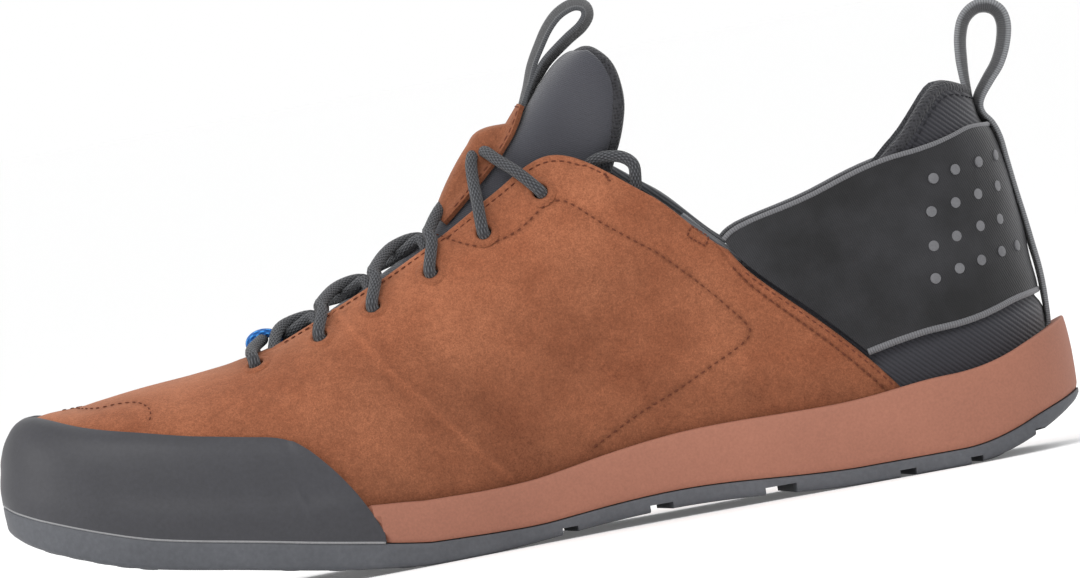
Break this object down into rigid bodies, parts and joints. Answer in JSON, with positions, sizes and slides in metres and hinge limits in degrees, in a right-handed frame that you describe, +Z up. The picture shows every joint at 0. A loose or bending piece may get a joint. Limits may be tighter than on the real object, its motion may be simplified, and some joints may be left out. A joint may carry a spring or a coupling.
{
  "type": "approach shoe",
  "caption": "Low approach shoe for the right foot: suede upper laced over a tongue, rubber toe rand, stretch band round the heel, pull loops and a foam midsole on a rubber outsole.",
  "frame": {"origin": "middle of the shoe's bounding box at the ground it stands on", "axes": "+X towards the heel, along the shoe's length; +Y towards the outer side of the foot; +Z up"},
  "size_m": [0.292, 0.1026, 0.1413],
  "materials": {
    "suede": "brushed orange-brown nubuck",
    "textile": "charcoal microfibre",
    "stretch_fabric": "smooth black stretch fabric",
    "rand_rubber": "smooth grey rubber",
    "tread_rubber": "matt blue-grey rubber",
    "midsole_foam": "matt tan moulded foam",
    "webbing": "woven grey tape",
    "lace_cord": "round braided cord",
    "blue_cord": "round blue cord",
    "insole_fabric": "plain dark insole cover"
  },
  "bodies": {
    "root": {"outsole": "tread_rubber", "midsole": "midsole_foam", "insole": "insole_fabric", "upper": "suede", "toe_rand": "rand_rubber", "heel_band": "stretch_fabric", "tongue": "textile", "tongue_patch": "suede", "heel_loop": "webbing", "tongue_loop": "webbing", "lace_1": "lace_cord", "lace_2": "lace_cord", "lace_3": "lace_cord", "lace_4": "lace_cord", "lace_bar": "lace_cord", "throat_loop": "blue_cord", "lace_end": "lace_cord"}
  },
  "joints": []
}
